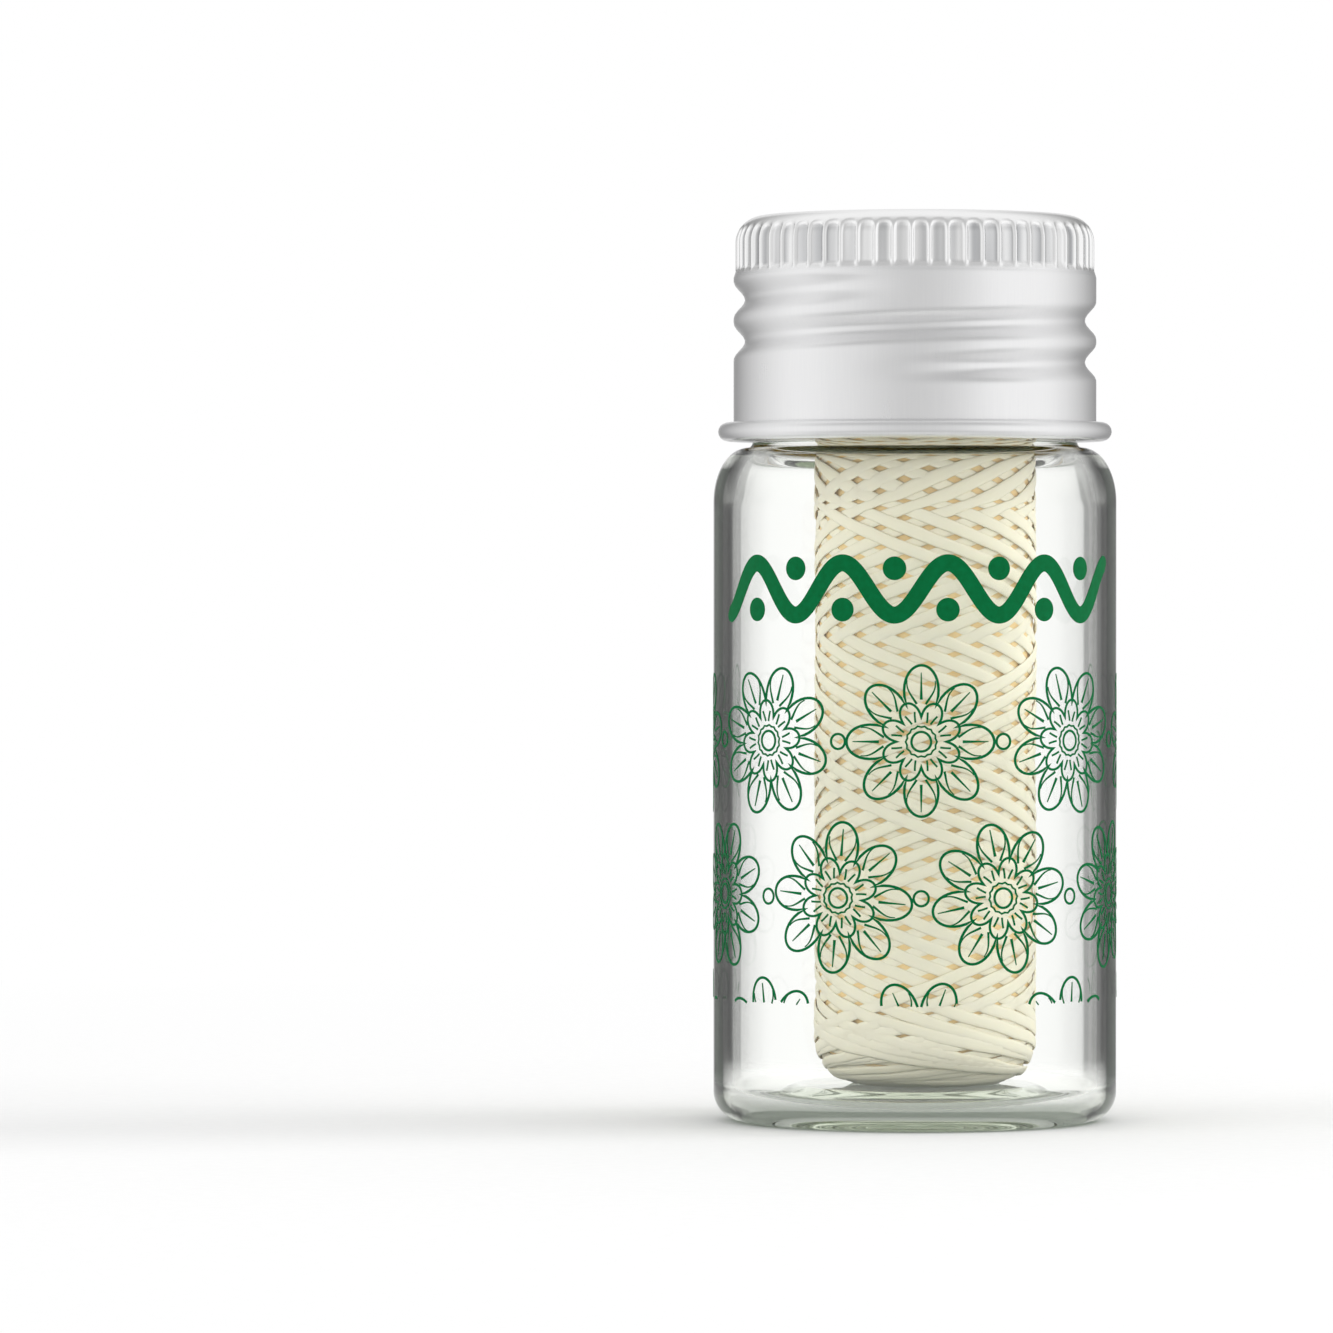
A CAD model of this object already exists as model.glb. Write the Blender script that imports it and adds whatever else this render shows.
import math
import bpy
import numpy as np
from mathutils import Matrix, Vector


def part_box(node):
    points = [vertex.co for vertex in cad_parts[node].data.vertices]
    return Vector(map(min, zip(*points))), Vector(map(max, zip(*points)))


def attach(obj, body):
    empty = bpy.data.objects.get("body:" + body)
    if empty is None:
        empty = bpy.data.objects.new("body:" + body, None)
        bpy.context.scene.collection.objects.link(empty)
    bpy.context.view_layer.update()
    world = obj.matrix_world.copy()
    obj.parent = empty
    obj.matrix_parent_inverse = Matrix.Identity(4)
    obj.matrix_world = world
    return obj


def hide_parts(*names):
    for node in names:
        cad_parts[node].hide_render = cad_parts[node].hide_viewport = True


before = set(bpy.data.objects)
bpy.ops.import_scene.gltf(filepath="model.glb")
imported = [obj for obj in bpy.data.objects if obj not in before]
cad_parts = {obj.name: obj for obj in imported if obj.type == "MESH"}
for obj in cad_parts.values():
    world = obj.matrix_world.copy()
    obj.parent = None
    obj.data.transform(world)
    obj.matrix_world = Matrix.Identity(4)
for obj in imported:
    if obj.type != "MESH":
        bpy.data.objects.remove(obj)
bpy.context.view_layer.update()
mm = 0.001
tau = 2 * math.pi
print("frame loaded with", len(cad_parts), "nodes")

# what the frame says about the places of the pieces, in millimetres
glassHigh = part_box("glass_bottle")[1] / mm
capLow, capHigh = (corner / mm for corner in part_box("cap_shell"))
coreLow, coreHigh = (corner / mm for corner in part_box("floss_core"))
windLow, windHigh = (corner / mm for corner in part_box("floss_winding"))


def linear(code):
    # sRGB hex to linear light: the standard curve, channel by channel
    srgb = np.array([int(code[i:i + 2], 16) for i in (1, 3, 5)]) / 255
    light = np.where(srgb <= 0.04045, srgb / 12.92, ((srgb + 0.055) / 1.055) ** 2.4)
    return (*light.tolist(), 1.0)


def addNode(tree, kind, settings=None, links=None):
    # one node: words that name a property set it, the rest are sockets by name or number
    node = tree.nodes.new(kind)
    for name, value in (settings or {}).items():
        if isinstance(name, str) and hasattr(node, name):
            setattr(node, name, value)
        else:
            node.inputs[name].default_value = value
    for name, source in (links or {}).items():
        tree.links.new(source, node.inputs[name])
    return node


def newMaterial(name):
    material = bpy.data.materials.new(name)
    material.use_nodes = True
    material.node_tree.nodes.clear()
    return material, material.node_tree


def smooth(x):
    # 0 below 0 and 1 above 1, with 3x^2 - 2x^3 between them
    x = np.clip(x, 0, 1)
    return x * x * (3 - 2 * x)


def arc(midR, midZ, radiusR, radiusZ, startDeg, endDeg, count):
    # points (r, z) of an elliptical arc: middle + radius * (cos a, sin a)
    a = np.radians(np.linspace(startDeg, endDeg, count))
    return np.stack([midR + radiusR * np.cos(a), midZ + radiusZ * np.sin(a)], 1)


def straight(start, end, count):
    # evenly spaced points from start to end, without the end
    t = np.linspace(0, 1, count, endpoint=False)[:, None]
    return np.array(start) * (1 - t) + np.array(end) * t


def runAlong(points):
    # how far along the line each point lies: the summed length of the steps before it
    return np.append(0, np.cumsum(np.linalg.norm(np.diff(points, axis=0), axis=1)))


def gridMap(u, v):
    # a piece's own map in mm: u and v at every point of its grid
    return np.stack(np.broadcast_arrays(u, v), -1).reshape(-1, 2)


def circle(midX, midY, radius, count):
    # points of a circle: middle + radius * (cos a, sin a), without the last one
    a = np.linspace(0, tau, count, endpoint=False)
    return np.stack([midX + radius * np.cos(a), midY + radius * np.sin(a)], -1)


def buildMesh(name, points, quads, material, uv=None, shade=True, marks=None):
    # points in millimetres to a mesh in metres; quads may repeat a corner to be triangles
    # marks is a name and a number for each point, which the material reads
    faces = [tuple(dict.fromkeys(q)) for q in quads.tolist()]
    mesh = bpy.data.meshes.new(name)
    mesh.from_pydata((points * mm).tolist(), [], faces)
    if uv is not None:
        corners = np.empty(len(mesh.loops), np.int32)
        mesh.loops.foreach_get("vertex_index", corners)
        layer = mesh.uv_layers.new(name="surfaceMap")
        layer.data.foreach_set("uv", uv[corners].astype(np.float32).ravel())
    if marks is not None:
        mark = mesh.attributes.new(marks[0], "FLOAT", "POINT")
        mark.data.foreach_set("value", marks[1].astype(np.float32).ravel())
    if shade:
        mesh.polygons.foreach_set("use_smooth", np.ones(len(faces), bool))
    mesh.update()
    mesh.validate()
    piece = bpy.data.objects.new(name, mesh)
    bpy.context.scene.collection.objects.link(piece)
    mesh.materials.append(material)
    return piece


def gridQuads(rows, columns, rowsClosed=False, columnsClosed=True):
    # corner numbers of every cell of a rows by columns grid
    i = np.arange(rows if rowsClosed else rows - 1)[:, None]
    j = np.arange(columns if columnsClosed else columns - 1)[None, :]
    nextI, nextJ = (i + 1) % rows, (j + 1) % columns
    corners = [i * columns + j, i * columns + nextJ, nextI * columns + nextJ, nextI * columns + j]
    return np.stack(np.broadcast_arrays(*corners), -1).reshape(-1, 4)


def turnedSurface(radii, heights, middle=(0, 0), ring=False, angles=None):
    # grid of (r cos t, r sin t, z): one row per profile point, one column per angle
    # an open profile starts and ends on the axis, and each end shrinks to one point
    rows, columns = radii.shape
    t = np.arange(columns) * tau / columns if angles is None else angles
    points = np.stack([middle[0] + radii * np.cos(t), middle[1] + radii * np.sin(t), heights], -1)
    points = points.reshape(-1, 3)
    quads = gridQuads(rows, columns, rowsClosed=ring)
    if not ring:
        quads = np.where(quads < columns, 0, quads)
        last = (rows - 1) * columns
        quads = np.where(quads >= last, last, quads)
    # the sum of r^2 dz along the profile says which way it runs, and so which way faces look
    r, z = radii[:, 0], heights[:, 0]
    if ring:
        r, z = np.append(r, r[0]), np.append(z, z[0])
    runs = np.sum((r[1:] + r[:-1]) ** 2 * np.diff(z))
    return points, quads if runs > 0 else quads[:, ::-1]


def dropLoose(points, quads, uv=None):
    # leaves out the points that no face uses
    used, again = np.unique(quads, return_inverse=True)
    return points[used], again.reshape(quads.shape), None if uv is None else uv[used]


# camera: the photograph's own place, in front of the bottle and a little above its middle
camera = {
    "distance": 585,  # from the bottle's axis, mm
    "eyeHeight": 39.6,
    "aside": -18.5,  # the bottle stands right of the picture's middle
    "lens": 212,
    "sensor": 36,
    "pitchDeg": 0.566,  # looks down a touch
    "clip": (0.05, 50),  # metres
}
cameraData = bpy.data.cameras.new("photoCamera")
cameraData.lens = camera["lens"]
cameraData.sensor_width = camera["sensor"]
cameraObject = bpy.data.objects.new("photoCamera", cameraData)
bpy.context.scene.collection.objects.link(cameraObject)
cameraObject.location = Vector((camera["aside"], -camera["distance"], camera["eyeHeight"])) * mm
cameraObject.rotation_euler = (math.radians(90 - camera["pitchDeg"]), 0, 0)
cameraData.clip_start, cameraData.clip_end = camera["clip"]
bpy.context.scene.camera = cameraObject
print("camera set")


# bottle: sizes in mm that the frame's box doesn't give
bottle = {
    "columns": 288,
    "wall": 1.4,
    "neckRadius": 12.1,
    "neckWall": 1.2,
    "neckHeight": 15.7,
    "shoulderHeight": 4.0,
    "shoulderWall": 0.9,
    "shoulderStep": 0.8,  # the curve starts this much lower inside
    "heel": 2.2,
    "floorCorner": 1.6,
    "floorEdge": 1.3,  # height of the floor at its corner
    "floorFlat": 8.6,  # radius of its flat middle
    "ringWidth": 1.2,
    "pushUp": 1.2,
    "rimRound": 0.5,
    "neckFillet": 0.4,
    "throat": 0.9,
    "threadPitch": 3.1,
    "threadTurns": 1.5,
    "threadHigh": 0.85,
    "threadWidth": 1.5,
    "threadCrest": 1.6,  # above 1 the crest is flat
    "threadEndDeg": 502,
    "threadDrop": 3.6,  # its top end under the rim
    "threadFadeDeg": 35,
    # the round of the tube, seen from the side outside the bore, is dark
    "roundFrom": (14.2, 14.5),  # radius where it begins
    "roundFacing": (0.58, 0.7),  # and how far the wall has turned away there
    "roundTint": "#141A14",
    # lamps reach what is inside, dimmed a little at each surface
    "lampTint": ("#FBFCFB", "#9CA39C"),  # square to the wall and along it
    "lampFacing": (0.45, 0.85),
    "baseTint": "#B2B8B2",  # the heel and the base bend most of the light away
    "baseHeight": (3.5, 0.5),
    "ironGreen": "#E8EFDE",  # iron takes blue most and green least
    "ironDensity": 60.0,
}


def clearGlass(b):
    # soda-lime tube glass, drawn and flame-formed: colourless across the wall, green along it
    material, tree = newMaterial("flameFormedTubeGlass")
    where = addNode(tree, "ShaderNodeTexCoord")
    level = addNode(tree, "ShaderNodeVectorMath", {"operation": "MULTIPLY", 1: (1, 1, 0)},
                    {0: where.outputs["Object"]})
    radius = addNode(tree, "ShaderNodeVectorMath", {"operation": "LENGTH"}, {0: level.outputs[0]})
    onRound = addNode(tree, "ShaderNodeMapRange", {
        1: b["roundFrom"][0] * mm, 2: b["roundFrom"][1] * mm}, {0: radius.outputs["Value"]})
    facing = addNode(tree, "ShaderNodeLayerWeight", {"Blend": 0.5})
    grazing = addNode(tree, "ShaderNodeMapRange", {1: b["roundFacing"][0], 2: b["roundFacing"][1]},
                      {0: facing.outputs["Facing"]})
    dark = addNode(tree, "ShaderNodeMath", {"operation": "MULTIPLY"},
                   {0: onRound.outputs[0], 1: grazing.outputs[0]})
    tint = addNode(tree, "ShaderNodeMix", {
        "data_type": "RGBA", 6: linear("#FFFFFF"), 7: linear(b["roundTint"])},
        {0: dark.outputs[0]})
    glass = addNode(tree, "ShaderNodeBsdfPrincipled", {
        "Roughness": 0.0, "IOR": 1.5, "Transmission Weight": 1.0},
        {"Base Color": tint.outputs[2]})
    slant = addNode(tree, "ShaderNodeMapRange", {1: b["lampFacing"][0], 2: b["lampFacing"][1]},
                    {0: facing.outputs["Facing"]})
    dimmed = addNode(tree, "ShaderNodeMix", {
        "data_type": "RGBA", 6: linear(b["lampTint"][0]), 7: linear(b["lampTint"][1])},
        {0: slant.outputs[0]})
    height = addNode(tree, "ShaderNodeSeparateXYZ", None, {0: where.outputs["Object"]})
    base = addNode(tree, "ShaderNodeMapRange", {
        1: b["baseHeight"][0] * mm, 2: b["baseHeight"][1] * mm}, {0: height.outputs[2]})
    passed = addNode(tree, "ShaderNodeMix", {"data_type": "RGBA", 7: linear(b["baseTint"])},
                     {0: base.outputs[0], 6: dimmed.outputs[2]})
    letThrough = addNode(tree, "ShaderNodeBsdfTransparent", None, {"Color": passed.outputs[2]})
    path = addNode(tree, "ShaderNodeLightPath")
    lampRay = addNode(tree, "ShaderNodeMath", {"operation": "MAXIMUM"},
                      {0: path.outputs["Is Shadow Ray"], 1: path.outputs["Is Diffuse Ray"]})
    both = addNode(tree, "ShaderNodeMixShader", None, {
        0: lampRay.outputs[0], 1: glass.outputs[0], 2: letThrough.outputs[0]})
    green = addNode(tree, "ShaderNodeVolumeAbsorption", {
        "Color": linear(b["ironGreen"]), "Density": b["ironDensity"]})
    addNode(tree, "ShaderNodeOutputMaterial", None,
            {"Surface": both.outputs[0], "Volume": green.outputs[0]})
    return material


def glassProfile(b):
    # base, heel, side, shoulder, neck and rim outside, then inside down to the floor;
    # the last number of each arc and straight line is its count of points
    body, rim, floor = glassHigh.x, glassHigh.z, coreLow.z
    shoulder = rim - b["neckHeight"]
    side = shoulder - b["shoulderHeight"]
    neck, inNeck = b["neckRadius"], b["neckRadius"] - b["neckWall"]
    inBody = body - b["wall"]
    ringOut = body - b["heel"]
    ringIn = ringOut - b["ringWidth"]
    domeR, domeZ = ringIn, b["pushUp"]
    dome = arc(0, 0, domeR, domeZ, 90, 4, 20)
    bend = b["throat"]
    sideIn = side - b["shoulderStep"]
    cornerR, cornerZ = inBody - b["floorCorner"], b["floorEdge"] + b["floorCorner"]
    # from the corner the floor rises on an S-curve to its flat middle
    t = np.linspace(0, 1, 16)[1:, None]
    rise = np.hstack([cornerR + (b["floorFlat"] - cornerR) * t,
                      b["floorEdge"] + (floor - b["floorEdge"]) * smooth(t)])
    return np.concatenate([
        dome, straight((ringIn, 0), (ringOut, 0), 4),
        arc(ringOut, b["heel"], b["heel"], b["heel"], -90, 0, 16),
        straight((body, b["heel"]), (body, side), 14)[1:],
        arc(neck + b["neckFillet"], side, body - neck - b["neckFillet"], b["shoulderHeight"],
            0, 88, 22),
        arc(neck + b["neckFillet"], shoulder + b["neckFillet"], b["neckFillet"],
            b["neckFillet"], 268, 180, 8),
        straight((neck, shoulder + b["neckFillet"]), (neck, rim - b["rimRound"]), 110)[1:],
        arc(neck - b["rimRound"], rim - b["rimRound"], b["rimRound"], b["rimRound"], 0, 88, 7),
        arc(inNeck + b["rimRound"], rim - b["rimRound"], b["rimRound"], b["rimRound"],
            92, 180, 7),
        straight((inNeck, rim - b["rimRound"]), (inNeck, shoulder - b["shoulderWall"] + bend),
                 8)[1:],
        arc(inNeck + bend, shoulder - b["shoulderWall"] + bend, bend, bend, 180, 268, 8),
        arc(inNeck + bend, sideIn, inBody - inNeck - bend,
            shoulder - b["shoulderWall"] - sideIn, 88, 0, 20),
        straight((inBody, sideIn), (inBody, cornerZ), 12)[1:],
        arc(cornerR, cornerZ, b["floorCorner"], b["floorCorner"], 0, -90, 12), rise,
        straight((b["floorFlat"], floor), (0, floor), 6)[1:], [[0, floor]]])


def threadBump(b, radii, heights):
    # a rounded ridge along z = endZ - pitch * (end - a) / 360, faded at both ends
    t = np.degrees(np.arange(radii.shape[1]) * tau / radii.shape[1])
    endA, startA = b["threadEndDeg"], b["threadEndDeg"] - 360 * b["threadTurns"]
    bump = np.zeros_like(radii)
    onNeck = np.abs(radii - b["neckRadius"]) < 0.01
    for turn in (-1, 0, 1, 2):
        a = t[None, :] + 360 * turn
        fade = smooth((a - startA) / b["threadFadeDeg"]) * smooth((endA - a) / b["threadFadeDeg"])
        z = glassHigh.z - b["threadDrop"] - b["threadPitch"] * (endA - a) / 360
        across = np.clip(1 - np.abs(heights - z) / (b["threadWidth"] / 2), 0, 1)
        bump = np.maximum(bump, b["threadHigh"] * fade * smooth(across * b["threadCrest"]))
    return np.where(onNeck, bump, 0)


profile = glassProfile(bottle)
radii = np.repeat(profile[:, :1], bottle["columns"], 1)
heights = np.repeat(profile[:, 1:], bottle["columns"], 1)
radii = radii + threadBump(bottle, radii, heights)
points, quads = dropLoose(*turnedSurface(radii, heights))[:2]
glassPiece = buildMesh("bottleGlass", points, quads, clearGlass(bottle))
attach(glassPiece, "bottle")
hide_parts("glass_bottle")
print("bottle blown:", len(glassPiece.data.polygons), "faces")


# cap: drawn sheet with a fluted grip, a rolled thread and a curled edge, in mm
cap = {
    "sheet": 0.35,
    "skirtRadius": 13.5,
    "gripRadius": 13.35,
    "gripHeight": 3.4,
    "gripStep": 0.5,  # height over which the grip widens to the skirt
    "cornerRadius": 2.0,
    "cornerShare": 0.36,  # how much of the corner lies above the flutes
    "fluteCount": 62,
    "fluteDepth": 0.22,
    "fluteArch": 1.6,  # the sides of its top end hang down by a quarter of this
    "fluteRun": (0.35, 0.4),  # the run-out of its floor, below and above
    "ridgeShare": 0.42,  # of one flute and one ridge together
    # columns of the mesh in one flute and ridge, close together where the ridge bends
    "fluteColumns": (-0.21, -0.165, -0.115, -0.055, 0, 0.055, 0.115, 0.165, 0.21, 0.4, 0.6),
    "curl": (1.5, 1.4),  # across and high
    "curlGap": 0.06,
    "seatRadius": 7.0,
    "seatDepth": 0.35,
    "holeRadius": 1.65,
    "grooveTurns": 2.08,
    "grooveEndDeg": 634,
    "grooveWidth": 2.8,
    "grooveDepth": 0.85,
    "grooveFadeDeg": 60,
    "grooveUnder": 1.4,  # middle of the groove under the middle of the glass thread
    "satinTone": ("#EFEFF0", "#F7F7F7"),
    "satinRough": (0.26, 0.32),
    "grainRough": 0.015,  # added and taken away by the drawing lines
    # the knurling wheel and the drawing ring burnish the grip and the corner above it
    "polishedTone": "#FEFEFE",
    "polishedRough": 0.19,
    "polishedFrom": (4.4, 3.8),  # under the top
    # between the ridges the sheet keeps its dull grey lacquer
    "fluteTone": ("#B9BABC", "#F8F8F8"),
    "fluteUneven": (0.38, 0.62),  # the noise at the duller tone and at the paler
    "fluteRough": 0.17,
    "fluteFrom": (0.55, 0.95),  # share of the way down into a flute
    # inside it has a gold stoving lacquer, which shows olive through the glass of the neck
    "insideTone": "#C9A51E",
    "insideMetal": 0.2,
}


def satinAluminium(c):
    # aluminium sheet, deep-drawn, washed and clear-lacquered: soft broad reflections
    material, tree = newMaterial("drawnSatinAluminium")
    where = addNode(tree, "ShaderNodeUVMap", {"uv_map": "surfaceMap"})
    # drawing lines run up the wall: 0.12 mm apart, stretched thirty times along the draw
    lines = addNode(tree, "ShaderNodeMapping", {"Scale": (8.0, 0.25, 1.0)},
                    {"Vector": where.outputs[0]})
    drawn = addNode(tree, "ShaderNodeTexNoise", {"Scale": 1.0, "Detail": 4.0, "Roughness": 0.6},
                    {"Vector": lines.outputs[0]})
    # wide clouds where the lacquer lies thicker, about 4 mm across
    clouds = addNode(tree, "ShaderNodeTexNoise", {"Scale": 0.25, "Detail": 2.0},
                     {"Vector": where.outputs[0]})
    dull = addNode(tree, "ShaderNodeMapRange", {3: c["satinRough"][0], 4: c["satinRough"][1]},
                   {0: clouds.outputs[0]})
    grain = addNode(tree, "ShaderNodeMapRange", {3: -c["grainRough"], 4: c["grainRough"]},
                    {0: drawn.outputs[0]})
    satin = addNode(tree, "ShaderNodeMath", {"operation": "ADD"},
                    {0: dull.outputs[0], 1: grain.outputs[0]})
    place = addNode(tree, "ShaderNodeTexCoord")
    height = addNode(tree, "ShaderNodeSeparateXYZ", None, {0: place.outputs["Object"]})
    high = addNode(tree, "ShaderNodeMapRange", {
        1: (capHigh.z - c["polishedFrom"][0]) * mm, 2: (capHigh.z - c["polishedFrom"][1]) * mm},
        {0: height.outputs[2]})
    burnished = addNode(tree, "ShaderNodeMix", {3: c["polishedRough"]},
                        {0: high.outputs[0], 2: satin.outputs[0]})
    pressed = addNode(tree, "ShaderNodeAttribute", {"attribute_name": "sheetMark"})
    recess = addNode(tree, "ShaderNodeMapRange", {1: c["fluteFrom"][0], 2: c["fluteFrom"][1]},
                     {0: pressed.outputs["Fac"]})
    rough = addNode(tree, "ShaderNodeMix", {3: c["fluteRough"]},
                    {0: recess.outputs[0], 2: burnished.outputs[0]})
    bump = addNode(tree, "ShaderNodeBump", {"Strength": 0.01, "Distance": 0.00003},
                   {"Height": drawn.outputs[0]})
    tone = addNode(tree, "ShaderNodeMix", {
        "data_type": "RGBA", 6: linear(c["satinTone"][0]), 7: linear(c["satinTone"][1])},
        {0: drawn.outputs[0]})
    polished = addNode(tree, "ShaderNodeMix", {"data_type": "RGBA", 7: linear(c["polishedTone"])},
                       {0: high.outputs[0], 6: tone.outputs[2]})
    # no two flutes are equally dull: noise 1.6 mm wide, stretched along the flutes
    eachFlute = addNode(tree, "ShaderNodeMapping", {"Scale": (0.6, 0.02, 1.0)},
                        {"Vector": where.outputs[0]})
    uneven = addNode(tree, "ShaderNodeTexNoise", {"Scale": 1.0, "Detail": 1.0},
                     {"Vector": eachFlute.outputs[0]})
    share = addNode(tree, "ShaderNodeMapRange", {
        1: c["fluteUneven"][0], 2: c["fluteUneven"][1]}, {0: uneven.outputs[0]})
    lacquer = addNode(tree, "ShaderNodeMix", {
        "data_type": "RGBA", 6: linear(c["fluteTone"][0]), 7: linear(c["fluteTone"][1])},
        {0: share.outputs[0]})
    dulled = addNode(tree, "ShaderNodeMix", {"data_type": "RGBA"},
                     {0: recess.outputs[0], 6: polished.outputs[2], 7: lacquer.outputs[2]})
    inside = addNode(tree, "ShaderNodeMapRange", {1: 0.0, 2: -1.0}, {0: pressed.outputs["Fac"]})
    lacquered = addNode(tree, "ShaderNodeMix", {"data_type": "RGBA", 7: linear(c["insideTone"])},
                        {0: inside.outputs[0], 6: dulled.outputs[2]})
    bare = addNode(tree, "ShaderNodeMapRange", {3: 1.0, 4: c["insideMetal"]},
                   {0: inside.outputs[0]})
    metal = addNode(tree, "ShaderNodeBsdfPrincipled", None, {
        "Metallic": bare.outputs[0], "Base Color": lacquered.outputs[2],
        "Roughness": rough.outputs[0], "Normal": bump.outputs[0]})
    addNode(tree, "ShaderNodeOutputMaterial", None, {"Surface": metal.outputs[0]})
    return material


def rolledGroove(c, heights, angles):
    # depth * cos^2 across the groove's width, on the thread's helix, faded at both ends
    t = np.degrees(angles % tau)[None, :]
    endA, startA = c["grooveEndDeg"], c["grooveEndDeg"] - 360 * c["grooveTurns"]
    depth = np.zeros((len(heights), len(angles)))
    for turn in (-1, 0, 1, 2):
        a = t + 360 * turn
        fade = smooth((a - startA) / c["grooveFadeDeg"]) * smooth((endA - a) / c["grooveFadeDeg"])
        z = (glassHigh.z - bottle["threadDrop"] - c["grooveUnder"]
             - bottle["threadPitch"] * (bottle["threadEndDeg"] - a) / 360)
        x = np.clip((heights[:, None] - z) / (c["grooveWidth"] / 2), -1, 1)
        depth = np.maximum(depth, c["grooveDepth"] * fade * np.cos(x * math.pi / 2) ** 2)
    return depth


def fluteDepth(c, heights, low, high, angles):
    # flat floors between ridges of the form cos^2, with ends that run out like a shallow scoop
    turn = (angles * c["fluteCount"] / tau + 0.5) % 1 - 0.5
    ridge = np.cos(math.pi * np.clip(turn / c["ridgeShare"], -0.5, 0.5)) ** 2
    # the top end is an arch: its middle reaches higher than its sides
    arch = high - c["fluteArch"] * (0.5 - np.abs(turn)) ** 2
    runLow, runHigh = c["fluteRun"]
    z = heights[:, None]
    deep = smooth((z - low) / runLow) * smooth((arch - z) / runHigh)
    return c["fluteDepth"] * deep * (1 - ridge)[None, :]


def capShell(c):
    # profile of the sheet: top, corner, grip and skirt outside, the curl, and back up inside
    top, bottom = capHigh.z, capLow.z
    gripTop = top - c["cornerRadius"] * c["cornerShare"]
    gripLow = gripTop - c["gripHeight"]
    skirtTop = gripLow - c["gripStep"]
    seat = top - c["seatDepth"]
    slope = c["seatDepth"]  # the edge of the seat slopes at 45 degrees
    curlR, curlH = c["curl"][0] / 2, c["curl"][1] / 2
    wall, thin = c["skirtRadius"], c["sheet"]
    curlX, curlZ = wall - thin + curlR, bottom + curlH
    # the curled edge ends this far round, a small gap from the skirt
    end = math.degrees(math.acos(-(curlX - wall - c["curlGap"]) / curlR))
    cornerX, cornerZ = c["gripRadius"] - c["cornerRadius"], top - c["cornerRadius"]
    outside = np.concatenate([
        straight((c["holeRadius"], seat), (c["seatRadius"], seat), 3),
        straight((c["seatRadius"], seat), (c["seatRadius"] + slope, top), 3),
        straight((c["seatRadius"] + slope, top), (cornerX, top), 4),
        arc(cornerX, cornerZ, c["cornerRadius"], c["cornerRadius"], 90, 0, 15),
        straight((c["gripRadius"], cornerZ), (c["gripRadius"], gripLow), 10)[1:],
        straight((c["gripRadius"], gripLow), (wall, skirtTop), 3),
        straight((wall, skirtTop), (wall, curlZ), 42)])
    curled = np.concatenate([
        arc(curlX, curlZ, curlR - thin, curlH - thin, 180, 360 + end, 9),
        arc(curlX, curlZ, curlR, curlH, 360 + end, 180, 16)])
    inside = np.concatenate([
        straight((wall - thin, curlZ), (wall - thin, skirtTop), 18)[1:],
        straight((wall - thin, skirtTop), (c["gripRadius"] - thin, gripLow), 3),
        straight((c["gripRadius"] - thin, gripLow), (c["gripRadius"] - thin, cornerZ), 5),
        arc(cornerX, cornerZ, c["cornerRadius"] - thin, c["cornerRadius"] - thin, 0, 90, 6),
        straight((cornerX, top - thin), (c["seatRadius"] + slope, top - thin), 3)[1:],
        straight((c["seatRadius"] + slope, top - thin), (c["seatRadius"], seat - thin), 2),
        straight((c["seatRadius"], seat - thin), (c["holeRadius"], seat - thin), 2),
        [[c["holeRadius"], seat - thin]]])
    profile = np.concatenate([outside, curled, inside])
    turns = np.arange(c["fluteCount"])[:, None] + np.array(c["fluteColumns"])[None, :]
    angles = turns.ravel() * tau / c["fluteCount"]
    columns = len(angles)
    r = np.repeat(profile[:, :1], columns, 1)
    z = profile[:, 1]
    row = np.arange(len(z))
    isWall = (profile[:, 0] > c["gripRadius"] - thin - 0.01) & (profile[:, 0] < wall + 0.001)
    isWall &= (z > curlZ + 0.05) & ((row < len(outside)) | (row >= len(outside) + len(curled)))
    pressed = rolledGroove(c, z, angles)
    fluted = fluteDepth(c, z, gripLow, gripTop, angles)
    onFlutes = (z > gripLow - 0.01) & (z < gripTop + 0.01)
    fluted = np.where(onFlutes[:, None], fluted, 0)
    r -= np.where(isWall[:, None], pressed, 0) + fluted
    points, quads = turnedSurface(r, np.repeat(z[:, None], columns, 1), ring=True,
                                  angles=angles)
    uv = gridMap(angles[None, :] * wall, runAlong(profile)[:, None])
    # mark: 0 to 1 down into a flute, and -1 on the inside of the sheet
    mark = fluted / c["fluteDepth"]
    mark[len(outside) + len(curled):] = -1
    return buildMesh("capShell", points, quads, satinAluminium(c), uv=uv,
                     marks=("sheetMark", mark))


capPiece = capShell(cap)
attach(capPiece, "cap")
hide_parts("cap_shell")
print("cap drawn:", len(capPiece.data.polygons), "faces")


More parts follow.
